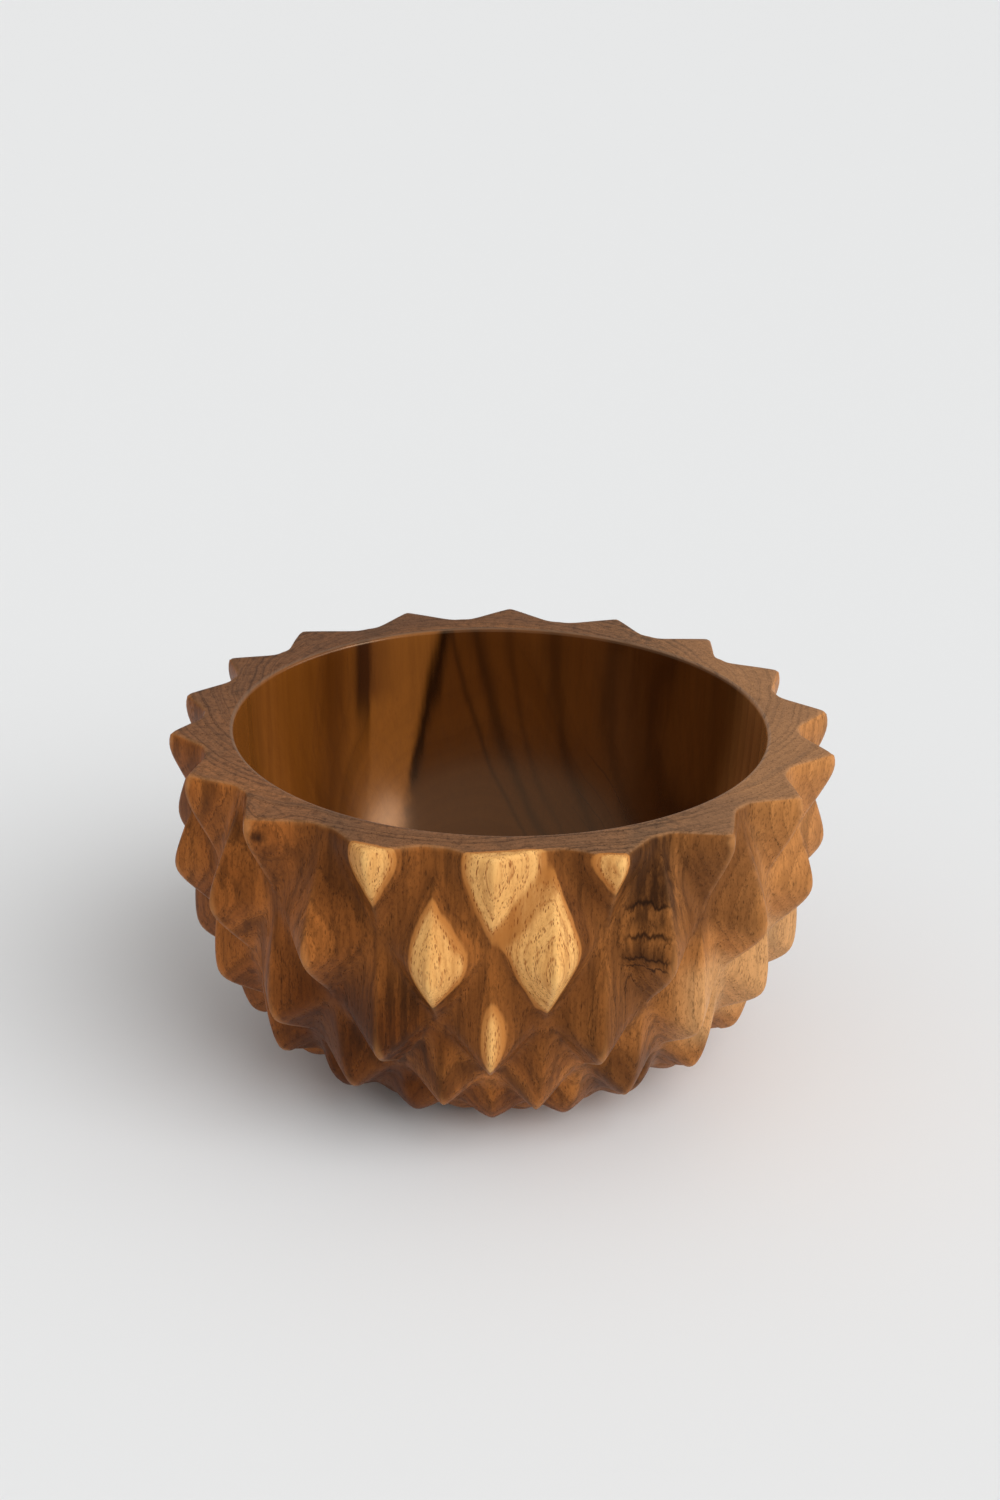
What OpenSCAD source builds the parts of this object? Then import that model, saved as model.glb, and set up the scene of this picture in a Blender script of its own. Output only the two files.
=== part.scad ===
// Turned and hand-carved wooden bowl, one solid piece of wood.
// Crossing spiral grooves cut its outside into rows of four-sided scales, like a pine cone.
// Millimetres, +Z up, origin at the middle of the flat foot, a column of scales facing -Y.

/* [Bowl] */
// Diameter of the round opening, measured at the rim
opening_d = 180; // [150:1:190]
// Height of the bowl from foot to rim
bowl_h = 122; // [110:1:126]
// Radius of the belly, measured in the bottom of the grooves
belly_r = 102; // [100:1:112]
// How far below the rim the belly is widest
belly_drop = 20; // [18:1:30]
// Depth at which the belly curve would close, measured from the widest level
belly_depth = 107; // [105:1:115]
// Fullness of the belly curve, where 2 is an ellipse
belly_power = 2.3; // [2.1:0.1:2.6]

/* [Hollow] */
// Depth of the hollow below the rim
hollow_depth = 106; // [90:1:108]
// Fullness of the hollow's curve, where 2 is an ellipse
hollow_power = 2.3; // [2:0.1:2.5]

/* [Carving] */
// Number of scales round each row
scales_per_row = 18; // [14:1:22]
// Angle between a groove and a line straight down the side, in degrees
groove_angle = 30; // [26:1:34]
// Height of a scale above the grooves at the belly
scale_h = 12; // [6:1:13]
// Roundness of the bottom of a groove, as a share of half a scale
groove_round = 0.12; // [0.05:0.01:0.3]
// Level of the middles of the first row of scales below the rim
first_row_drop = 2; // [1:0.5:6]
// How far the points of the lower rows sit below the middle of their scale, in rows
point_drop = 0.333; // [0:0.111:0.444]
// Height over which the carving runs out above the foot
foot_band = 26; // [16:1:32]
// How much wider than its curve the skin is at the foot
foot_spread = 7; // [3:1:9]
// Share of the carving that is left at the foot
foot_relief = 0.14; // [0:0.02:0.3]

/* [Hidden] */

wood_colour = [0.47, 0.30, 0.17];
opening_r = opening_d / 2;
steps_per_scale = 6;
steps_per_row = 3;
columns = scales_per_row * steps_per_scale;
hollow_rings = 10;
// Height step of the table that measures the skin, and of its slope
table_step = 0.5;
slope_step = 0.05;
// The grooves would crowd together at the centre line, so the lattice stops growing there
min_lattice_r = 5;

// Radius of a fuller-than-round curve at a distance from its widest level
function full_curve(radius, depth, power, distance) =
    radius * pow(max(0, 1 - pow(min(1, abs(distance) / depth), power)), 1 / power);

// Radius of the plain turned skin, in the bottom of the grooves, at a drop below the rim
function skin_r(drop) =
    full_curve(belly_r, belly_depth, belly_power, drop - belly_drop)
    + foot_spread * min(1, max(0, 1 - (bowl_h - drop) / foot_band));

// Slope of that skin: change in radius for each millimetre further down
function skin_slope(drop) = (skin_r(drop + slope_step) - skin_r(drop - slope_step)) / (2 * slope_step);

// The grooves cross the side at a constant angle, which sets how tall a row is for the width of its scales
half_scale_angle = 180 / scales_per_row;
row_height_ratio = (half_scale_angle * PI / 180) / tan(groove_angle);

// Rows passed while going down by one table step
function row_growth(drop) =
    norm([table_step, skin_r(drop + table_step) - skin_r(drop)])
    / (row_height_ratio * max(min_lattice_r, skin_r(drop + table_step / 2)));

table_steps = floor(bowl_h / table_step);
rows_table = [
    for (i = 0, rows = 0; i <= table_steps; rows = rows + row_growth(i * table_step), i = i + 1)
        [i * table_step, rows]
];
drop_table = [for (entry = rows_table) [entry[1], entry[0]]];

// Row number at a drop below the rim: the first row's middles are at 1
first_row_offset = 1 - lookup(first_row_drop, rows_table);
function row_at(drop) = lookup(drop, rows_table) + first_row_offset;
function drop_at(row) = lookup(row - first_row_offset, drop_table);

// The rim, then every third of a row, then the foot, with no two rings closer than the gap
least_gap = 0.1;
foot_row = row_at(table_steps * table_step);
first_step = ceil(row_at(0) * steps_per_row + least_gap);
last_step = floor(foot_row * steps_per_row - least_gap);
ring_rows = concat(
    [row_at(0)],
    [for (i = [first_step : last_step]) i / steps_per_row],
    [foot_row]
);
last_ring = len(ring_rows) - 1;

// How far below its middle the point of a scale lies: the rim cuts the first row at its points
function lean(row) = row <= 1 ? 0 : point_drop;

// A scale lies between two grooves that rise to the right and two that rise to the left.
// Its height grows evenly from each pair, from 0 in the groove to 1 at the scale's point.
function from_upper(distance, low) = (0.5 + distance) / (0.5 + low / 2);
function from_lower(distance, low) = (0.5 - distance) / (0.5 - low / 2);
function from_pair(distance, low) = min(from_upper(distance, low), from_lower(distance, low));

// Height from each pair of grooves, where column counts scales round from the front
function from_grooves(column, row) =
    let (
        first = (row - 1) / 2 + column,
        second = (row - 1) / 2 - column,
        low = lean(round(first) + round(second) + 1)
    )
    [from_pair(first - round(first), low), from_pair(second - round(second), low)];

// The same height with the bottoms of the grooves rounded
function rounded(height) =
    (norm([height, groove_round]) - groove_round) / (norm([1, groove_round]) - groove_round);

// Carved height on the skin: the lower of the two heights makes the scale's four facets
function carving(column, row) = rounded(max(0, min(from_grooves(column, row))));

// True where the facet falls to a groove of the first pair
function first_pair_facet(column, row) =
    let (heights = from_grooves(column, row))
    heights[0] < heights[1];

// The carving grows shallow toward the foot, gently at both ends of the band
function foot_fade(drop) =
    let (share = min(1, (bowl_h - drop) / foot_band))
    foot_relief + (1 - foot_relief) * share * share * (3 - 2 * share);

// One point of the outside, from its column, counted in scales, and its row
function outside_point(column, row, on_rim) =
    let (
        drop = on_rim ? 0 : drop_at(row),
        slope = skin_slope(drop),
        height = scale_h * skin_r(drop) / belly_r * carving(column, row) * foot_fade(drop),
        out = height / norm([1, slope]),
        radius = skin_r(drop) + out,
        level = on_rim ? bowl_h : min(bowl_h, max(0, bowl_h - drop + out * slope)),
        angle = column * 360 / scales_per_row - 90
    )
    [radius * cos(angle), radius * sin(angle), level];

function outside_ring(ring) = [
    for (i = [0 : columns - 1])
        outside_point(i / steps_per_scale, ring_rows[ring], ring == 0)
];

// One ring of the hollow, evenly spaced in angle along its curve from the rim to the middle
function hollow_ring(ring) =
    let (
        depth = hollow_depth * sin(90 * ring / hollow_rings),
        radius = full_curve(opening_r, hollow_depth, hollow_power, depth)
    )
    [
        for (i = [0 : columns - 1])
            let (angle = i * 360 / columns - 90)
            [radius * cos(angle), radius * sin(angle), bowl_h - depth]
    ];

// Triangles between two rings of points, which start at the given numbers in the point list.
// Each square is split level with the groove that its facet falls to.
function band(upper, lower, middle_row) = [
    for (i = [0 : columns - 1])
        let (next = (i + 1) % columns)
        each first_pair_facet((i + 0.5) / steps_per_scale, middle_row)
            ? [[upper + i, upper + next, lower + i], [upper + next, lower + next, lower + i]]
            : [[upper + i, upper + next, lower + next], [upper + i, lower + next, lower + i]]
];

// Triangles from a ring of points to one point at its middle
function fan(start, centre) = [
    for (i = [0 : columns - 1]) [start + i, start + (i + 1) % columns, centre]
];

function reversed(faces) = [for (face = faces) [face[2], face[1], face[0]]];

module bowl() {
    hollow_start = (last_ring + 1) * columns;
    foot_centre = hollow_start + hollow_rings * columns;
    points = concat(
        [for (ring = [0 : last_ring]) each outside_ring(ring)],
        [for (ring = [0 : hollow_rings - 1]) each hollow_ring(ring)],
        [[0, 0, 0], [0, 0, bowl_h - hollow_depth]]
    );
    outside = [
        for (ring = [0 : last_ring - 1])
            let (middle_row = (ring_rows[ring] + ring_rows[ring + 1]) / 2)
            each band(ring * columns, (ring + 1) * columns, middle_row)
    ];
    hollow = [
        for (ring = [0 : hollow_rings - 2])
            each band(hollow_start + ring * columns, hollow_start + (ring + 1) * columns, 1)
    ];
    rim = band(0, hollow_start, 1);
    foot = fan(last_ring * columns, foot_centre);
    hollow_floor = fan(hollow_start + (hollow_rings - 1) * columns, foot_centre + 1);
    color(wood_colour)
        polyhedron(
            points = points,
            faces = concat(outside, foot, reversed(concat(rim, hollow, hollow_floor)))
        );
}

bowl();
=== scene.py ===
"""Looks of the carved wooden bowl: one block of oiled wood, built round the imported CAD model."""

import math

import bpy
import numpy as np
from mathutils import Matrix, Vector


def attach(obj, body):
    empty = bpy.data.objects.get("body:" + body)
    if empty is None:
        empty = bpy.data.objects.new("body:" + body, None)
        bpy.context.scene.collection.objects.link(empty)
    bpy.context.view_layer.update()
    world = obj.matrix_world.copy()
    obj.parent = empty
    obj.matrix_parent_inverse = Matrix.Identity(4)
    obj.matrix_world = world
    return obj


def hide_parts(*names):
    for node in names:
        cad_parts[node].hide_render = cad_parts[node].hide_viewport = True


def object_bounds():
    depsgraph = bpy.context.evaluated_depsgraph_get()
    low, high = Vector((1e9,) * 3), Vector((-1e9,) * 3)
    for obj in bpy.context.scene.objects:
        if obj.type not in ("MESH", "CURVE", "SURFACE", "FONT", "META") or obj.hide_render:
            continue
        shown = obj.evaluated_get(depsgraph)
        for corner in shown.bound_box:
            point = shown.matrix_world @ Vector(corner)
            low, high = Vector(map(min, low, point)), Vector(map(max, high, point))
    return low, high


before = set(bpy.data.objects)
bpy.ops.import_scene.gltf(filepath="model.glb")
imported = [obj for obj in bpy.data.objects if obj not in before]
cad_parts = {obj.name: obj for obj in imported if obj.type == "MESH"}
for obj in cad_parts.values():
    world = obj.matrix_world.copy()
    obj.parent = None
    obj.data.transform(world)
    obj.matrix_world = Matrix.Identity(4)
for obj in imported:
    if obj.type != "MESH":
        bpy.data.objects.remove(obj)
CAD_LOW, CAD_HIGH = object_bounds()

# ---------------------------------------------------------------- driving sizes, in metres
HEIGHT = CAD_HIGH.z
OPENING_R = 0.090
HOLLOW_DEPTH = 0.106
HOLLOW_POWER = 2.3
BELLY_R = 0.102
BELLY_DROP = 0.020
BELLY_DEPTH = 0.107
BELLY_POWER = 2.3
SCALES = 18
GROOVE_ANGLE = math.radians(30)
SCALE_HEIGHT = 0.0121
FIRST_ROW_DROP = 0.002
FOOT_BAND = 0.026
FOOT_SPREAD = 0.007
FOOT_RELIEF = 0.14
FOOT_EDGE = 0.0006
RIM_EDGE = 0.0004
HOLLOW_EDGE = 0.0014

# Mesh steps: grooves run through the corners of the grid, two columns to one ring
STEPS_PER_SCALE = 36
RINGS_PER_ROW = STEPS_PER_SCALE // 2
COLUMNS = SCALES * STEPS_PER_SCALE
HOLLOW_RINGS = 26
HOLLOW_EDGE_RINGS = 6
# The innermost ring of the hollow, as a share of the quarter turn from its bottom to the rim
HOLLOW_START = 0.06
# Rings of the carved side keep this far from the rim and the foot, in rows
RIM_GAP, FOOT_GAP = 0.06, 0.02
# Rows are about this high near the rim
ROW_HEIGHT = 0.03
SEED = 11

# Material numbers of the faces
CARVED, TURNED = 0, 1


# ---------------------------------------------------------------- the turned skin under the carving
def full_curve(radius, depth, power, distance):
    """Radius of a curve that is fuller than an ellipse, at a distance from its widest level."""
    share = np.clip(np.abs(distance) / depth, 0, 1)
    return radius * (1 - share**power) ** (1 / power)


def skin_radius(drop):
    """Radius of the plain turned skin, in the bottom of the grooves, at a drop below the rim."""
    low = np.clip(1 - (HEIGHT - drop) / FOOT_BAND, 0, 1)
    return full_curve(BELLY_R, BELLY_DEPTH, BELLY_POWER, drop - BELLY_DROP) + FOOT_SPREAD * low


def skin_table(steps=4000):
    """Drop below the rim, radius, slope and row number down the side."""
    drop = np.linspace(0, HEIGHT, steps)
    radius = skin_radius(drop)
    slope = np.gradient(radius, drop)
    row_ratio = math.radians(180 / SCALES) / math.tan(GROOVE_ANGLE)
    length = np.hypot(np.diff(drop), np.diff(radius))
    middle = (radius[1:] + radius[:-1]) / 2
    row = np.concatenate([[0], np.cumsum(length / (row_ratio * middle))])
    row += 1 - np.interp(FIRST_ROW_DROP, drop, row)
    return drop, radius, slope, row


DROP, RADIUS, SLOPE, ROW = skin_table()


# ---------------------------------------------------------------- the carving
def waves(column, row, strength, seed):
    """A smooth uneven drift over the surface that joins up after one turn."""
    random = np.random.default_rng(seed)
    total = np.zeros(np.broadcast(column, row).shape)
    for turns in range(2, 12):
        phase = random.uniform(0, 2 * math.pi)
        climb = random.uniform(-2.5, 2.5)
        weight = random.normal() / math.sqrt(10)
        total = total + weight * np.sin(2 * math.pi * turns * column / SCALES + climb * row + phase)
    return strength * total


def bump(column, centre, width):
    """1 at a column and falling smoothly to 0 on both sides, the short way round."""
    away = (column - centre + SCALES / 2) % SCALES - SCALES / 2
    return np.exp(-((away / width) ** 2))


def scale_random(first, second, seed):
    """One number from 0 to 1 for each scale."""
    value = np.sin(first * 127.1 + second * 311.7 + seed * 74.7) * 43758.5453
    return value - np.floor(value)


def lean(row):
    """How far below its middle the point of a scale lies, in rows."""
    return np.interp(row, [1, 2, 3], [0.08, 0.22, 0.333])


def soft_least(first, second, roundness):
    """The lesser of two numbers, with the corner between them rounded off."""
    return -roundness * np.logaddexp(-first / roundness, -second / roundness)


def carving(column, row, groove_round=0.26, ridge_round=0.025, waist_round=0.15):
    """Height over the grooves, near 1 at a point, and whether its facet falls to the first pair of grooves."""
    first = (row - 1) / 2 + column
    second = (row - 1) / 2 - column
    first_scale, second_scale = np.round(first), np.round(second)
    scale_row = first_scale + second_scale + 1
    around = (first_scale - second_scale) / 2
    low = lean(scale_row)
    low = low + (scale_random(around % SCALES, scale_row, 1) - 0.5) * 0.10 * (scale_row > 1)
    heights = []
    for place in (first - first_scale, second - second_scale):
        heights.append((0.5 + place) / (0.5 + low / 2))
        heights.append((0.5 - place) / (0.5 - low / 2))
    # The ridge down the middle is crisp, the waist between upper and lower facets is soft
    left = soft_least(heights[0], heights[3], waist_round)
    right = soft_least(heights[1], heights[2], waist_round)
    ridge = ridge_round + 0.03 * np.clip(scale_row - 3, 0, 2)
    soft = soft_least(left, right, ridge)
    soft = np.maximum(soft, 0) / (1 - (ridge + waist_round) * math.log(2))
    height = (np.hypot(soft, groove_round) - groove_round) / (np.hypot(1, groove_round) - groove_round)
    level = np.minimum(heights[0], heights[1]) < np.minimum(heights[2], heights[3])
    # Hand work: no two scales are quite as high, and the front of the first row is cut back
    height = height * (0.93 + 0.14 * scale_random(around % SCALES, scale_row, 2))
    first_row = scale_row <= 1
    cut_back = 0.42 * bump(around, 0, 0.6) + 0.16 * (bump(around, 1, 0.5) + bump(around, -1, 0.5))
    height = height * np.where(first_row, 1 - cut_back, 0.93)
    # The far left and right reach out less, the lowest rows a little more
    height = height * (1 - np.where(first_row, 0.26, 0.12) * bump(around, -4.5, 0.9))
    height = height * (1 - np.where(first_row, 0, 0.05) * bump(around, 4.8, 1.2))
    height = height * (1 + 0.12 * np.clip(scale_row - 4, 0, 1))
    return height, level


def outside(column, row, drop=None):
    """Points of the carved outside. With drop, all points are put at that level."""
    column, row = np.broadcast_arrays(column, row)
    # Hand work: scales sit a little to the side of the lattice, and below the rim a little up or down
    turn = waves(column, row, 0.045, SEED)
    turn = turn - 0.17 * bump(column, -2.6, 1.1) - 0.11 * bump(column, 6.6, 2.4)
    turn = turn + 0.12 * bump(column, -6.5, 0.8) + 0.05 * bump(column, 6.0, 0.6)
    slide = waves(column, row, 0.05, SEED + 1) * np.clip((row - 0.9) / 0.5, 0, 1)
    slide = slide + 0.11 * bump(column, -0.55, 0.55) * np.exp(-(((row - 2.15) / 0.7) ** 2))
    here = np.interp(row + slide, ROW, DROP) if drop is None else np.full(row.shape, drop)
    radius = np.interp(here, DROP, RADIUS)
    slope = np.interp(here, DROP, SLOPE)
    height, _ = carving(column, row)
    fade = np.clip((HEIGHT - here) / FOOT_BAND, 0, 1)
    fade = FOOT_RELIEF + (1 - FOOT_RELIEF) * fade * fade * (3 - 2 * fade)
    height = height * SCALE_HEIGHT * radius / BELLY_R * fade
    out = height / np.hypot(1, slope)
    angle = (column + turn) * 2 * math.pi / SCALES - math.pi / 2
    radius = radius + out
    up = HEIGHT - here if drop is not None else np.clip(HEIGHT - here + out * slope, 0, HEIGHT)
    return np.stack([radius * np.cos(angle), radius * np.sin(angle), up], axis=-1)


def ring_at(radius, level):
    """One round ring of points of the turned hollow."""
    angle = np.arange(COLUMNS) / STEPS_PER_SCALE * 2 * math.pi / SCALES - math.pi / 2
    return np.stack([radius * np.cos(angle), radius * np.sin(angle), np.full(COLUMNS, level)], axis=-1)


def toward(points, radius, share):
    """Points moved to a radius by a share of the way, at the same angle."""
    now = np.hypot(points[:, 0], points[:, 1])
    moved = points.copy()
    moved[:, :2] *= ((now + (radius - now) * share) / now)[:, None]
    return moved


def bowl_rings():
    """Rings of points over the whole skin, and for each the row of the carving that it follows, if any."""
    column = np.arange(COLUMNS) / STEPS_PER_SCALE
    rim_row = np.interp(0, DROP, ROW)
    rings = []
    # The hollow, from its bottom up to the rounded inner edge
    depths = HOLLOW_DEPTH * np.cos(np.linspace(HOLLOW_START, 1, HOLLOW_RINGS) * math.pi / 2)
    for depth in depths[:-1]:
        if depth >= 3 * HOLLOW_EDGE:
            rings.append(ring_at(full_curve(OPENING_R, HOLLOW_DEPTH, HOLLOW_POWER, depth), HEIGHT - depth))
    for turn in np.linspace(0, math.pi / 2, HOLLOW_EDGE_RINGS):
        rings.append(ring_at(OPENING_R + HOLLOW_EDGE * (1 - math.cos(turn)),
                             HEIGHT - HOLLOW_EDGE * (1 - math.sin(turn))))
    hollow_rings = len(rings)

    # The flat rim, and its outer edge just taken off
    rim = outside(column, np.full(COLUMNS, rim_row), drop=0.0)
    for share in (0.80, 0.14):
        rings.append(toward(rim, OPENING_R + HOLLOW_EDGE, share))
    rim_in = rim.copy()
    rim_in[:, :2] *= (1 - RIM_EDGE / np.hypot(rim[:, 0], rim[:, 1]))[:, None]
    rings.append(rim_in)
    rings.append(outside(column, np.full(COLUMNS, rim_row + RIM_EDGE / ROW_HEIGHT), drop=RIM_EDGE * 1.2))
    rows = [None] * len(rings)

    # The carved side
    first = math.ceil((rim_row + RIM_GAP) * RINGS_PER_ROW)
    last = math.floor((ROW[-1] - FOOT_GAP) * RINGS_PER_ROW)
    for row in np.arange(first, last + 1) / RINGS_PER_ROW:
        rings.append(outside(column, np.full(COLUMNS, row)))
        rows.append(row)

    # The foot
    foot = outside(column, np.full(COLUMNS, ROW[-1]), drop=HEIGHT)
    foot[:, 2] = FOOT_EDGE
    under = toward(foot, 0.0, 0.02)
    under[:, 2] = 0
    rings += [foot, under, toward(under, 0.0, 0.5)]
    rows += [None] * 3
    return rings, rows, hollow_rings


def bowl_mesh():
    """One closed skin: carved outside, flat rim, turned hollow and flat foot."""
    rings, rows, hollow_rings = bowl_rings()
    points = np.concatenate(rings + [np.array([[0, 0, HEIGHT - HOLLOW_DEPTH], [0, 0, 0]])])
    index = np.arange(COLUMNS)
    after = (index + 1) % COLUMNS
    faces, kinds = [], []

    def add(kind, *corners):
        faces.append(np.stack(corners, axis=1))
        kinds.append(kind)

    for i in range(len(rings) - 1):
        a, b = i * COLUMNS, (i + 1) * COLUMNS
        steep = ((a + index, b + index, b + after), (a + index, b + after, a + after))
        if rows[i] is not None and rows[i + 1] is not None:
            # Each square is split level with the groove that its facet falls to
            flat = ((a + index, b + index, a + after), (a + after, b + index, b + after))
            _, level = carving((index + 0.5) / STEPS_PER_SCALE, np.full(COLUMNS, (rows[i] + rows[i + 1]) / 2))
            for flat_corners, steep_corners in zip(flat, steep):
                add(CARVED, *(np.where(level, one, other) for one, other in zip(flat_corners, steep_corners)))
        else:
            for corners in steep:
                add(TURNED if i < hollow_rings - 1 else CARVED, *corners)
    last_ring = (len(rings) - 1) * COLUMNS
    bottom, base = len(points) - 2, len(points) - 1
    add(TURNED, np.full(COLUMNS, bottom), index, after)
    add(CARVED, last_ring + index, np.full(COLUMNS, base), last_ring + after)
    return points, np.concatenate(faces), np.repeat(kinds, COLUMNS)


def make_object(name, points, faces, kinds, materials):
    """A smooth-shaded object from arrays of points, triangles and material numbers."""
    mesh = bpy.data.meshes.new(name)
    mesh.vertices.add(len(points))
    mesh.vertices.foreach_set("co", points.astype(np.float32).ravel())
    mesh.loops.add(len(faces) * 3)
    mesh.loops.foreach_set("vertex_index", faces.astype(np.int32).ravel())
    mesh.polygons.add(len(faces))
    mesh.polygons.foreach_set("loop_start", np.arange(0, len(faces) * 3, 3, dtype=np.int32))
    mesh.polygons.foreach_set("material_index", kinds.astype(np.int32))
    mesh.polygons.foreach_set("use_smooth", np.ones(len(faces), dtype=bool))
    mesh.update(calc_edges=True)
    mesh.validate()
    for material in materials:
        mesh.materials.append(material)
    piece = bpy.data.objects.new(name, mesh)
    bpy.context.scene.collection.objects.link(piece)
    return piece


# ---------------------------------------------------------------- wood
class Nodes:
    """Short words for building a node tree."""

    def __init__(self, tree):
        self.tree = tree

    def new(self, kind, **settings):
        node = self.tree.nodes.new(kind)
        for key, value in settings.items():
            setattr(node, key, value)
        return node

    def put(self, socket, value):
        if isinstance(value, bpy.types.NodeSocket):
            self.tree.links.new(value, socket)
        elif value is not None:
            socket.default_value = value

    def math(self, operation, a, b=None, c=None):
        node = self.new("ShaderNodeMath", operation=operation)
        for socket, value in zip(node.inputs, (a, b, c)):
            self.put(socket, value)
        return node.outputs[0]

    def vector(self, operation, a, b=None, scale=None):
        node = self.new("ShaderNodeVectorMath", operation=operation)
        self.put(node.inputs[0], a)
        self.put(node.inputs[1], b)
        if scale is not None:
            self.put(node.inputs["Scale"], scale)
        return node.outputs["Value" if operation in ("LENGTH", "DOT_PRODUCT", "DISTANCE") else "Vector"]

    def above(self, value, low, high):
        """0 up to the low value and 1 from the high value on."""
        return self.steps(value, low, high)

    def below(self, value, low, high):
        """1 up to the low value and 0 from the high value on."""
        return self.steps(value, low, high, 1, 0)

    def between(self, value, low, full, end, high):
        """1 from full to end, falling to 0 at low and at high."""
        return self.times(self.above(value, low, full), self.below(value, end, high))

    def around(self, value, spread):
        """A noise of 0 to 1 turned into a number between minus and plus the spread."""
        return self.math("MULTIPLY_ADD", value, 2 * spread, -spread)

    def times(self, *shares):
        """The product of all the shares."""
        total = shares[0]
        for share in shares[1:]:
            total = self.math("MULTIPLY", total, share)
        return total

    def hill(self, value, centre, width):
        """1 at the centre and falling smoothly to 0 on both sides."""
        away = self.math("DIVIDE", self.math("SUBTRACT", value, centre), width)
        return self.math("EXPONENT", self.math("MULTIPLY", self.math("MULTIPLY", away, away), -1))

    def add(self, total, amount, *shares):
        """The total plus an amount times all the shares."""
        return self.math("MULTIPLY_ADD", self.times(*shares), amount, total)

    def noise(self, vector, scale, detail=2.0, rough=0.5, colour=False):
        node = self.new("ShaderNodeTexNoise")
        self.put(node.inputs["Vector"], vector)
        node.inputs["Scale"].default_value = scale
        node.inputs["Detail"].default_value = detail
        node.inputs["Roughness"].default_value = rough
        return node.outputs["Color" if colour else "Fac"]

    def steps(self, value, low, high, to_low=0.0, to_high=1.0):
        """A smooth change from to_low to to_high while the value goes from low to high."""
        node = self.new("ShaderNodeMapRange", interpolation_type="SMOOTHSTEP")
        self.put(node.inputs["Value"], value)
        for name, number in (("From Min", low), ("From Max", high), ("To Min", to_low), ("To Max", to_high)):
            self.put(node.inputs[name], number)
        return node.outputs["Result"]

    def mix(self, share, a, b):
        node = self.new("ShaderNodeMix", data_type="RGBA", blend_type="MIX")
        self.put(node.inputs["Factor"], share)
        self.put(node.inputs[6], a)
        self.put(node.inputs[7], b)
        return node.outputs[2]

    def stains(self, base, table):
        """The base with colours laid over it in turn, each by the product of its shares."""
        for rgb, *shares in table:
            base = self.mix(self.times(*shares), base, colour(*rgb))
        return base


def colour(red, green, blue):
    """A colour given as it looks on screen, 0 to 255, turned into light."""
    def light(value):
        value /= 255
        return value / 12.92 if value <= 0.04045 else ((value + 0.055) / 1.055) ** 2.4
    return (light(red), light(green), light(blue), 1)


# In metres: where the pith and the knot are, and how far apart the rings of the heartwood and the sapwood are
PITH = (-0.0054, 0.0369, 0.0)
KNOT = (-0.0729, -0.0836, 0.1160)
RING = 0.0032
SAP_RING = 0.0021


class Grain:
    """The patterns of the one block of wood, which all of its colours are made from."""

    def __init__(self, n, inside):
        self.place = place = n.new("ShaderNodeTexCoord").outputs["Object"]
        split = n.new("ShaderNodeSeparateXYZ")
        n.put(split.inputs[0], place)
        self.x, self.y, self.z = split.outputs

        # The fibre runs up the bowl: patterns are stretched along Z
        self.slow = n.vector("MULTIPLY", place, (1, 1, 0.30))
        self.fibre = n.vector("MULTIPLY", place, (1, 1, 0.10))
        self.hair = n.vector("MULTIPLY", place, (1, 1, 0.05))

        # Distance from the pith, wandering, and more ragged on the carved outside than in the turned hollow
        flat = n.vector("MULTIPLY", n.vector("SUBTRACT", place, PITH), (1, 1, 0))
        wander = n.around(n.noise(self.slow, 14, 1.5), 0.010)
        ripple = n.around(n.noise(self.fibre, 75, 2.0), 0.0008 if inside else 0.0015)
        jag = n.around(n.noise(self.hair, 420, 2.0), 0.0001 if inside else 0.0010)
        jag = n.times(jag, n.math("MULTIPLY_ADD", n.hill(self.x, 0.048, 0.016), 1.0, 0.45))
        radius = n.math("ADD", n.math("ADD", n.vector("LENGTH", flat), wander), n.math("ADD", ripple, jag))
        # A small knot at the rim on the left pushes the rings aside
        self.knot_away = n.vector("DISTANCE", place, KNOT)
        radius = n.add(radius, -0.011, n.hill(self.knot_away, 0.0, 0.010))

        # Growth rings: uneven widths, a dark line where each begins
        line = n.new("ShaderNodeCombineXYZ")
        n.put(line.inputs[0], radius)
        self.rings = line.outputs[0]
        uneven = n.around(n.noise(self.rings, 60, 1.0), 0.8)
        count = n.math("ADD", n.math("DIVIDE", radius, RING), uneven)
        self.part = n.math("FRACT", count)
        white = n.new("ShaderNodeTexWhiteNoise", noise_dimensions="1D")
        n.put(white.inputs["W"], n.math("FLOOR", count))
        border = n.math("MAXIMUM", n.below(self.part, 0.0, 0.12), n.above(self.part, 0.95, 1.0))
        self.ring_line = n.times(border, n.steps(white.outputs["Value"], 0.15, 0.95, 0.15, 1.0))
        self.late = n.above(self.part, 0.15, 1.0)

        # Uneven patterns, from broad to fine
        self.cloud = n.noise(self.slow, 26, 3.0, 0.55)
        self.streak = n.noise(self.fibre, 120, 3.0, 0.6)
        self.thread = n.noise(self.hair, 330, 3.0, 0.65)
        self.layer = n.noise(self.rings, 700, 3.0, 0.7)
        self.fine = n.noise(self.hair, 900, 2.0, 0.6)
        # The wood on the right has fewer dark lines
        self.calm = 1.0 if inside else n.steps(self.x, 0.045, 0.075, 1.0, 0.32)


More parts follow.
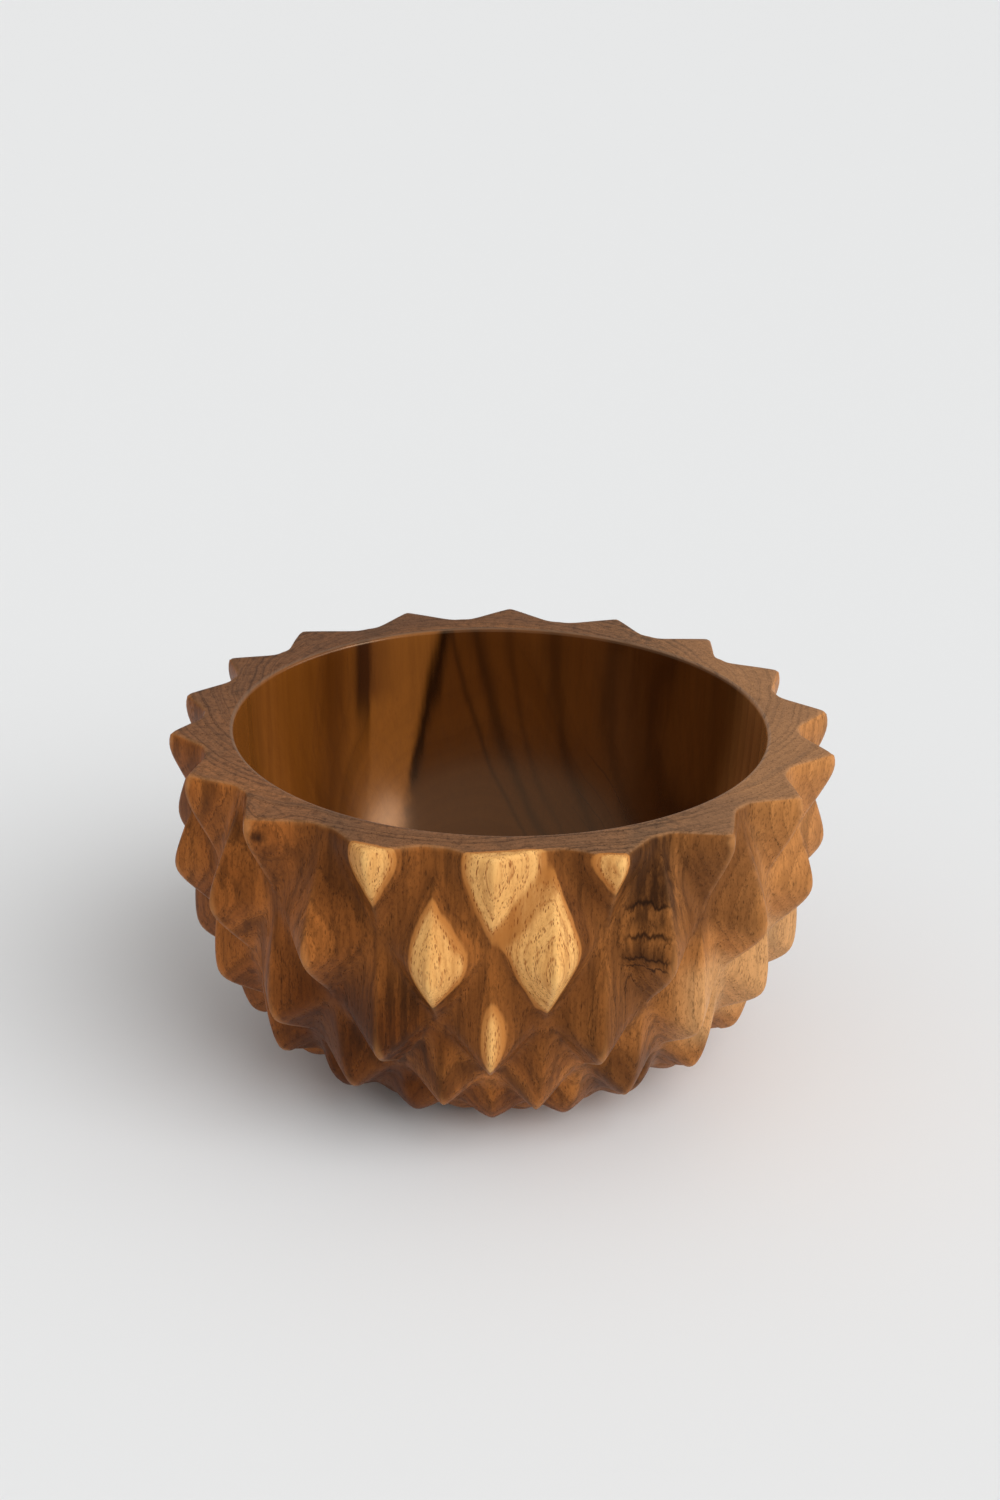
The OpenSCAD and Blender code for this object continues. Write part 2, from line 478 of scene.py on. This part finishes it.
def sapwood_depth(n, g):
    """How far a point lies in front of the heartwood, whose border bulges and dips. Only high spots pass it."""
    x, z = g.x, g.z
    off_middle = n.math("ABSOLUTE", x)
    limit = n.math("MULTIPLY_ADD", n.noise(g.slow, 60, 2.0), 0.0016, 0.1014)
    limit = n.math("ADD", limit, n.around(n.noise(g.hair, 350, 2.0), 0.0005))
    for amount, *shares in (
        (0.0022, n.hill(x, -0.016, 0.009)),
        (-0.0026, n.hill(x, 0.0120, 0.010)),
        (-0.0012, n.hill(x, 0.037, 0.009), n.above(z, 0.098, 0.104)),
        (-0.0058, n.hill(x, -0.045, 0.011), n.above(z, 0.092, 0.100)),
        (-0.0022, n.above(off_middle, 0.009, 0.015), n.below(z, 0.064, 0.082)),
        (0.0085, n.above(off_middle, 0.0045, 0.0125), n.below(z, 0.052, 0.064)),
        (0.0022, n.hill(x, 0.0, 0.010), n.between(z, 0.060, 0.084, 0.084, 0.090)),
        (-0.0016, n.hill(x, -0.0185, 0.007), n.above(z, 0.084, 0.094)),
        (-0.0014, n.hill(x, -0.0090, 0.004), n.between(z, 0.070, 0.076, 0.084, 0.090)),
        (0.0040, n.above(off_middle, 0.044, 0.052)),
    ):
        limit = n.add(limit, amount, *shares)
    return n.math("SUBTRACT", n.math("MULTIPLY", g.y, -1), limit)


def heartwood(n, g, past, inside):
    """Brown wood in broad bands that follow the rings, with painted light and shade: golden on the lit right
    and redder on the shaded left.
    """
    x, z = g.x, g.z
    bands = n.above(n.noise(g.rings, 95, 2.5, 0.6), 0.36, 0.64)
    # Painted light: gold makes the wood golden and paler toward the lit right
    gold = n.math("MAXIMUM", n.steps(x, 0.000, 0.095, 0.0, 0.85), n.above(x, 0.062, 0.082))
    burr = n.times(n.hill(x, 0.050, 0.010), n.above(z, 0.074, 0.082))
    smudge = n.times(burr, n.above(g.thread, 0.30, 0.62), n.above(z, 0.088, 0.098))
    smudge = n.math("MAXIMUM", smudge, n.times(burr, g.ring_line))
    return n.stains(n.mix(bands, colour(146, 84, 36), colour(196, 121, 57)), (
        ((204, 140, 80), gold, 0.77),
        # Painted shade: redder and darker toward the shaded left
        ((160, 90, 40), n.below(x, -0.075, -0.010), 0.52),
        ((96, 48, 19), n.above(g.cloud, 0.40, 0.75), 0.45),
        ((58, 30, 13), n.above(g.streak, 0.42, 0.80), g.calm, 0.26 if inside else 0.45),
        ((82, 44, 19), g.late, 0.22),
        ((34, 17, 8), g.ring_line, 0.20 if inside else 0.34),
        # A few rings are almost black
        ((36, 18, 10), n.above(n.noise(g.rings, 150, 0.0), 0.66, 0.74), 0.35,
         n.steps(g.streak, 0.30, 0.55, 0.4, 1)),
        # The wood just under the sapwood is the darkest, most of all right of the middle
        ((70, 36, 14), n.above(past, -0.030, -0.012), n.below(n.math("ABSOLUTE", x), 0.050, 0.066),
         n.above(z, 0.030, 0.052), n.steps(g.cloud, 0.30, 0.62, 0.45, 1.0), 0.44),
        ((26, 13, 8), smudge, 0.75),
    ))


def hollow_figure(n, g, heart):
    """Stripes of the far wall of the hollow: gold on the left, a light band, and dark wood on the right with
    painted shade laid over it.
    """
    x, y, z = g.x, g.y, g.z
    back = n.above(y, 0.020, 0.045)
    depth = n.math("SUBTRACT", 0.120, z)
    waver = n.math("ADD", x, n.around(g.streak, 0.002))
    soft_band = n.math("MULTIPLY_ADD", g.streak, 0.010, n.math("SUBTRACT", x, 0.005))
    # The edge of the dark wood and its painted shade leans to the left on its way down
    edge = n.math("ADD", x, n.math("MULTIPLY_ADD", depth, 0.19, 0.0233))
    edge = n.math("ADD", edge, n.around(g.streak, 0.004))
    dark_wood_and_shade = n.times(back, n.above(edge, -0.0030, 0.0030))
    # The layers in it are fanned out like the pages of a book
    lay = n.math("SUBTRACT", n.math("MULTIPLY_ADD", y, 0.66, x), n.math("MULTIPLY", depth, 0.447))
    lay = n.math("DIVIDE", lay, n.math("MULTIPLY_ADD", depth, -5.8, 1.0))
    lay = n.math("ADD", lay, n.around(g.streak, 0.003))
    layers = ((0.038, 0.0016, 0.5), (0.0486, 0.0030, 0.6), (0.060, 0.0018, 0.35), (0.0766, 0.0028, 0.5),
              (0.094, 0.0026, 0.6), (0.100, 0.0040, 0.4), (0.1047, 0.0024, 0.6), (0.119, 0.0040, 0.4))
    return n.stains(heart, (
        ((100, 55, 6), back, 0.76),
        ((92, 54, 6), n.below(x, -0.080, -0.058), n.below(y, 0.020, 0.045), 0.62),
        ((140, 84, 34), back, n.above(waver, -0.0506, -0.0486), n.below(edge, -0.004, 0.001), 0.6),
        # Painted shade over the dark wood on the right, darker still toward the bottom of the hollow
        ((66, 32, 9), dark_wood_and_shade, 0.72),
        ((34, 13, 2), dark_wood_and_shade, n.steps(z, 0.060, 0.092, 0.42, 0)),
        *(((24, 10, 4), dark_wood_and_shade, n.hill(lay, centre, width), share) for centre, width, share in layers),
        ((56, 22, 3), back, n.hill(soft_band, -0.0625, 0.0065), 0.62),
        # Two almost black stripes, one on each side of the light band
        ((14, 5, 2), back, n.between(waver, -0.0562, -0.0535, -0.0508, -0.0492),
         n.above(z, 0.080, 0.106), 0.93),
        ((14, 5, 2), back, n.hill(edge, 0.0002, 0.0024), n.above(z, 0.058, 0.070), 0.93),
    ))


def jagged_marks(n, g, heart):
    """Dark saw-toothed lines across one scale at the front right, with darker wood above and between them."""
    step = n.math("MULTIPLY_ADD", n.noise(g.hair, 260, 3.0, 0.7), 0.0085, n.math("SUBTRACT", g.z, 0.0042))
    zone = n.times(n.between(g.x, 0.0385, 0.0440, 0.0520, 0.0575), n.below(g.y, -0.070, -0.060))
    marks = 0.0
    for level, width in ((0.1005, 0.0008), (0.0908, 0.0008), (0.0832, 0.0006), (0.0792, 0.0004)):
        marks = n.math("MAXIMUM", n.hill(step, level, width), marks)
    return n.stains(heart, (
        ((40, 21, 11), zone, n.above(step, 0.0990, 0.1008), 0.50),
        ((36, 19, 10), zone, n.between(step, 0.0832, 0.0838, 0.0902, 0.0908),
         n.above(g.thread, 0.42, 0.54), 0.30),
        ((20, 10, 7), zone, marks, 0.85),
        ((40, 20, 10), zone, n.between(step, 0.0790, 0.0835, 0.0835, 0.0895), 0.5),
    ))


def regions(n, g, heart):
    """Darker, redder and paler regions of the heartwood, some of them painted shade and painted light."""
    x, y, z = g.x, g.y, g.z
    # On the right the border between the painted shade above and the painted light below goes up and down
    level = n.math("ADD", z, n.around(n.noise(g.fibre, 40, 3.0), 0.015))
    eye = n.math("MULTIPLY_ADD", n.noise(g.slow, 500, 2.0), 0.004, g.knot_away)
    return n.stains(heart, (
        # Ring lines low at the front right
        ((30, 15, 8), n.between(x, 0.024, 0.031, 0.043, 0.049), n.between(z, 0.034, 0.042, 0.072, 0.080),
         g.ring_line, 0.6),
        # Low on the left, painted shade: dark and red
        ((64, 22, 2), n.between(x, -0.078, -0.060, -0.034, 0.006), n.below(y, -0.050, -0.030),
         n.below(z, 0.058, 0.082), 0.70),
        # Low at the front, a little to the right
        ((66, 32, 11), n.between(x, 0.028, 0.036, 0.050, 0.060), n.below(z, 0.036, 0.050),
         n.below(y, -0.060, -0.050), 0.60),
        # High on the right painted shade, and under it painted light that makes the palest heartwood
        ((84, 46, 22), n.above(x, 0.054, 0.064), n.above(level, 0.078, 0.090), n.below(y, -0.066, -0.050),
         n.steps(x, 0.080, 0.088, 1, 0.3), 0.62),
        ((236, 184, 126), n.above(x, 0.054, 0.068), n.below(level, 0.066, 0.078), n.below(y, 0.000, 0.030),
         n.above(z, 0.028, 0.040), 0.43),
        # Left of the middle, one dark spot under the rim and one low down that looks burnt
        ((64, 32, 14), n.hill(x, -0.0495, 0.0065), n.above(z, 0.094, 0.104), 0.55),
        ((28, 15, 10), n.hill(x, -0.030, 0.012), n.between(z, 0.030, 0.040, 0.070, 0.082),
         n.above(g.thread, 0.42, 0.58), n.below(y, -0.064, -0.054), 0.48),
        # The eye of the knot
        ((34, 18, 12), n.below(eye, 0.0026, 0.0056), 0.88),
    ))


def end_grain(n, g, heart, inside):
    """The rim is greyer, most of all at the far left, with fine dark layers that are softer everywhere else."""
    rim = n.times(n.above(g.z, HEIGHT - 0.0006, HEIGHT - 0.0001), n.steps(g.x, -0.02, 0.09, 0.85, 1.3))
    return n.stains(heart, (
        ((158, 119, 87), rim, 0.50),
        ((74, 54, 42), rim, n.steps(g.y, -0.06, 0.05, 0.25, 1), n.below(g.x, -0.05, 0.11), 0.58),
        ((52, 34, 24), rim, n.above(g.layer, 0.48, 0.60), g.calm, 0.38),
        ((46, 25, 14), n.above(g.layer, 0.45, 0.72), g.calm, 0.12 if inside else 0.46),
    ))


def sapwood(n, g, past, sap_part):
    """Pale wood with rings of its own, a darker border and an amber groove between its two large patches."""
    sap_line = n.math("MAXIMUM", n.below(sap_part, 0.0, 0.16), n.above(sap_part, 0.93, 1.0))
    across = n.math("MULTIPLY_ADD", g.x, 0.806, n.math("MULTIPLY_ADD", g.z, -0.590, 0.0524))
    across = n.math("MULTIPLY_ADD", n.noise(g.slow, 130, 2.0), 0.002, n.math("SUBTRACT", across, 0.001))
    groove = n.times(n.below(n.math("ABSOLUTE", across), 0.0026, 0.0050), n.above(g.z, 0.086, 0.092),
                     n.above(g.x, -0.004, 0.000))
    return n.stains(n.mix(n.above(g.streak, 0.35, 0.7), colour(232, 178, 108), colour(212, 154, 88)), (
        ((220, 162, 92), g.late, 0.3),
        ((150, 74, 28), sap_line, n.above(g.thread, 0.40, 0.58), 0.52),
        ((168, 100, 42), n.below(past, 0.0004, 0.0021), 0.80),
        ((166, 106, 50), groove, n.steps(g.streak, 0.30, 0.60, 0.55, 0.85)),
    ))


def pores(n, g, sap_share, sap_part):
    """Vessels of the wood: long dark pores, crowded where a ring begins, and small ones with them."""
    bend = n.vector("SCALE", n.noise(g.fibre, 160, 1.0, colour=True), scale=0.0012)
    cells = []
    for stretch, scale in ((0.20, 1080), (0.26, 1750)):
        cell = n.new("ShaderNodeTexVoronoi", feature="F1")
        n.put(cell.inputs["Vector"], n.vector("ADD", n.vector("MULTIPLY", g.place, (1, 1, stretch)), bend))
        cell.inputs["Scale"].default_value = scale
        cells.append(cell)
    large, small = cells
    chance = n.new("ShaderNodeSeparateColor")
    n.put(chance.inputs[0], large.outputs["Color"])
    crowd = n.math("MAXIMUM", n.steps(g.part, 0.15, 0.50, 1.0, 0.10), n.above(g.part, 0.82, 0.94))
    crowd = n.times(crowd, n.steps(g.x, 0.030, 0.070, 0.75, 0.38))
    sap_crowd = n.math("MAXIMUM", n.steps(sap_part, 0.20, 0.55, 1.0, 0.06), n.above(sap_part, 0.84, 0.94))
    crowd = n.math("ADD", crowd, n.times(sap_share, n.math("SUBTRACT", sap_crowd, crowd)))
    open_here = n.math("LESS_THAN", chance.outputs[0], crowd)
    early = n.math("MAXIMUM", n.below(g.part, 0.10, 0.30), n.above(g.part, 0.90, 0.97))
    early = n.math("MAXIMUM", early, n.times(sap_share, sap_crowd))
    return n.math("MAXIMUM", n.times(n.below(large.outputs["Distance"], 0.17, 0.30), open_here),
                  n.times(n.below(small.outputs["Distance"], 0.20, 0.38), early, 0.8))


def wood(name, roughness, inside):
    """Brown heartwood with dark rings and long pores, pale sapwood at the front, from one solid pattern."""
    material = bpy.data.materials.new(name)
    material.use_nodes = True
    tree = material.node_tree
    tree.nodes.clear()
    n = Nodes(tree)
    g = Grain(n, inside)
    past = sapwood_depth(n, g)
    sap_share = n.above(past, -0.0002, 0.0004)
    sap_wander = n.times(n.noise(g.slow, 110, 2.0), 0.9)
    sap_part = n.math("FRACT", n.math("ADD", n.math("DIVIDE", past, SAP_RING), sap_wander))
    heart = heartwood(n, g, past, inside)
    heart = hollow_figure(n, g, heart) if inside else jagged_marks(n, g, heart)
    heart = end_grain(n, g, regions(n, g, heart), inside)
    base = n.mix(sap_share, heart, sapwood(n, g, past, sap_part))

    # Pores, hairs and grit, each with one colour on the heartwood and another on the sapwood
    pore = pores(n, g, sap_share, sap_part)
    pore_share = 0.10 if inside else n.math("MULTIPLY_ADD", sap_share, 0.32, 0.48)
    hairs = n.times(n.above(g.thread, 0.46, 0.70), g.calm, 0.10 if inside else 0.44)
    fine_hairs = n.times(n.above(g.fine, 0.3, 0.8), 0.10 if inside else 0.24)
    grit = n.noise(n.vector("MULTIPLY", g.place, (1, 1, 0.35)), 1600, 2.0, 0.7)
    details = [(n.times(pore, pore_share), (38, 20, 12), (104, 42, 12)),
               (hairs, (40, 21, 11), (150, 92, 44)),
               (fine_hairs, (44, 24, 13), (150, 92, 44)),
               (n.steps(grit, 0.50, 0.66, 0, 0.05 if inside else 0.34), (40, 20, 10), (168, 104, 50))]
    if not inside:
        # Ridges are paler from handling wear and a painted highlight, and painted shade darkens the grooves
        edge = n.new("ShaderNodeNewGeometry").outputs["Pointiness"]
        # Pale ridges: handling wear with a painted highlight
        details.append((n.steps(edge, 0.520, 0.575, 0, 0.46), (196, 136, 82), (236, 190, 120)))
        # Painted shade in the grooves
        details.append((n.steps(edge, 0.430, 0.490, 0.42, 0), (44, 20, 8), (44, 20, 8)))
    for share, on_heart, on_sap in details:
        base = n.mix(share, base, n.mix(sap_share, colour(*on_heart), colour(*on_sap)))

    shader = n.new("ShaderNodeBsdfPrincipled")
    n.put(shader.inputs["Base Color"], base)
    shine = n.math("MULTIPLY_ADD", g.fine, 0.12, roughness - 0.06)
    shine = n.math("ADD", shine, n.times(pore, 0.0 if inside else 0.25))
    n.put(shader.inputs["Roughness"], shine)
    shader.inputs["Specular IOR Level"].default_value = 0.85 if inside else 0.12
    shader.inputs["Specular Tint"].default_value = colour(235, 190, 150)
    shader.inputs["IOR"].default_value = 1.48
    dent = n.new("ShaderNodeBump")
    dent.inputs["Strength"].default_value = 0.02 if inside else 0.40
    dent.inputs["Distance"].default_value = 0.0002
    n.put(dent.inputs["Height"], n.math("SUBTRACT", n.times(g.fine, 0.25), pore))
    n.put(shader.inputs["Normal"], dent.outputs[0])
    out = n.new("ShaderNodeOutputMaterial")
    n.put(out.inputs["Surface"], shader.outputs[0])
    return material


# ---------------------------------------------------------------- stage, light and camera
FLOOR_HALF = 14.0
PAPER = (0.80, 0.80, 0.80, 1)
SKY = (0.985, 0.980, 0.970, 1)
SKY_SEEN = (0.815, 0.825, 0.84, 1)
DAYLIGHT = (0.96, 0.985, 1.005)

# The camera's lens and sensor in millimetres, its distance and its height over the rim in opening radii,
# and its angles in radians
LENS, SENSOR = 57.6, 36
CAMERA_AWAY, CAMERA_ABOVE = 8.358, 3.473
CAMERA_PITCH, CAMERA_ROLL, CAMERA_SWING = 0.4058, 0.0169, math.radians(0.9)


def floor():
    """A plain sheet of pale paper, far larger than the view."""
    far = FLOOR_HALF
    mesh = bpy.data.meshes.new("floor")
    mesh.from_pydata([(-far, -far, 0), (far, -far, 0), (far, far, 0), (-far, far, 0)], [], [(0, 1, 2, 3)])
    material = bpy.data.materials.new("paper")
    material.use_nodes = True
    shader = material.node_tree.nodes["Principled BSDF"]
    shader.inputs["Base Color"].default_value = PAPER
    shader.inputs["Roughness"].default_value = 0.9
    shader.inputs["Specular IOR Level"].default_value = 0.1
    mesh.materials.append(material)
    plane = bpy.data.objects.new("floor", mesh)
    bpy.context.scene.collection.objects.link(plane)


def lights():
    """A pale room that is brighter toward the window, two soft lights, and a gleam for the gloss."""
    world = bpy.data.worlds.new("studio")
    bpy.context.scene.world = world
    world.use_nodes = True
    tree = world.node_tree
    tree.nodes.clear()
    n = Nodes(tree)
    way = n.new("ShaderNodeTexCoord").outputs["Generated"]
    key_side = n.vector("DOT_PRODUCT", way, Vector((0.30, -0.72, 0.55)).normalized())
    glow = n.steps(key_side, -0.9, 1.0, 0.27, 0.74)
    sky = n.new("ShaderNodeBackground")
    n.put(sky.inputs["Color"], SKY)
    n.put(sky.inputs["Strength"], glow)
    seen = n.new("ShaderNodeBackground")
    n.put(seen.inputs["Color"], SKY_SEEN)
    ray = n.new("ShaderNodeLightPath")
    pick = n.new("ShaderNodeMixShader")
    n.put(pick.inputs[0], ray.outputs["Is Camera Ray"])
    n.put(pick.inputs[1], sky.outputs[0])
    n.put(pick.inputs[2], seen.outputs[0])
    out = n.new("ShaderNodeOutputWorld")
    n.put(out.inputs["Surface"], pick.outputs[0])

    # A big window on the right, a little in front, and its light thrown back from low down.
    # The gloss of the hollow shows only the window's bright middle, which is a light of its own.
    # Angles are in degrees: above level, round from +X, and across the light.
    for name, strength, rise, side, spread in (("window", 1.80, 42, -48, 50), ("bounce", 1.00, 7, -8, 50),
                                               ("gleam", 0.66, 26, -22, 22)):
        sun = bpy.data.lights.new(name, "SUN")
        sun.energy = strength
        sun.angle = math.radians(spread)
        sun.color = DAYLIGHT
        lamp = bpy.data.objects.new(name, sun)
        lamp.visible_glossy = name != "window"
        lamp.visible_diffuse = name != "gleam"
        rise, side = math.radians(rise), math.radians(side)
        aim = Vector((math.cos(rise) * math.cos(side), math.cos(rise) * math.sin(side), math.sin(rise)))
        lamp.rotation_mode = "QUATERNION"
        lamp.rotation_quaternion = aim.to_track_quat("Z", "Y")
        bpy.context.scene.collection.objects.link(lamp)


def camera():
    """The photographer's place: about 23 degrees above the rim, a long way off."""
    data = bpy.data.cameras.new("camera")
    data.sensor_width = SENSOR
    data.lens = LENS
    data.clip_start, data.clip_end = 0.05, 60
    view = bpy.data.objects.new("camera", data)
    bpy.context.scene.collection.objects.link(view)
    away, above = CAMERA_AWAY * OPENING_R, CAMERA_ABOVE * OPENING_R
    pitch, roll, swing = CAMERA_PITCH, CAMERA_ROLL, CAMERA_SWING
    forward = Vector((0, math.cos(pitch), -math.sin(pitch)))
    right = Vector((1, 0, 0))
    up = right.cross(forward)
    right, up = (math.cos(roll) * right + math.sin(roll) * up, math.cos(roll) * up - math.sin(roll) * right)
    turn = Matrix.Rotation(swing, 3, "Z")
    axes = Matrix((turn @ right, turn @ up, turn @ -forward)).transposed()
    view.matrix_world = Matrix.Translation(turn @ Vector((0, -away, HEIGHT + above))) @ axes.to_4x4()
    bpy.context.scene.camera = view


# ---------------------------------------------------------------- the model
outside_wood = wood("oiled_wood_carved", roughness=0.44, inside=False)
inside_wood = wood("oiled_wood_turned", roughness=0.21, inside=True)
bowl = make_object("carved_bowl", *bowl_mesh(), [outside_wood, inside_wood])
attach(bowl, "root")
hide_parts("bowl")

floor()
lights()
camera()
bpy.context.scene.view_settings.view_transform = "Standard"
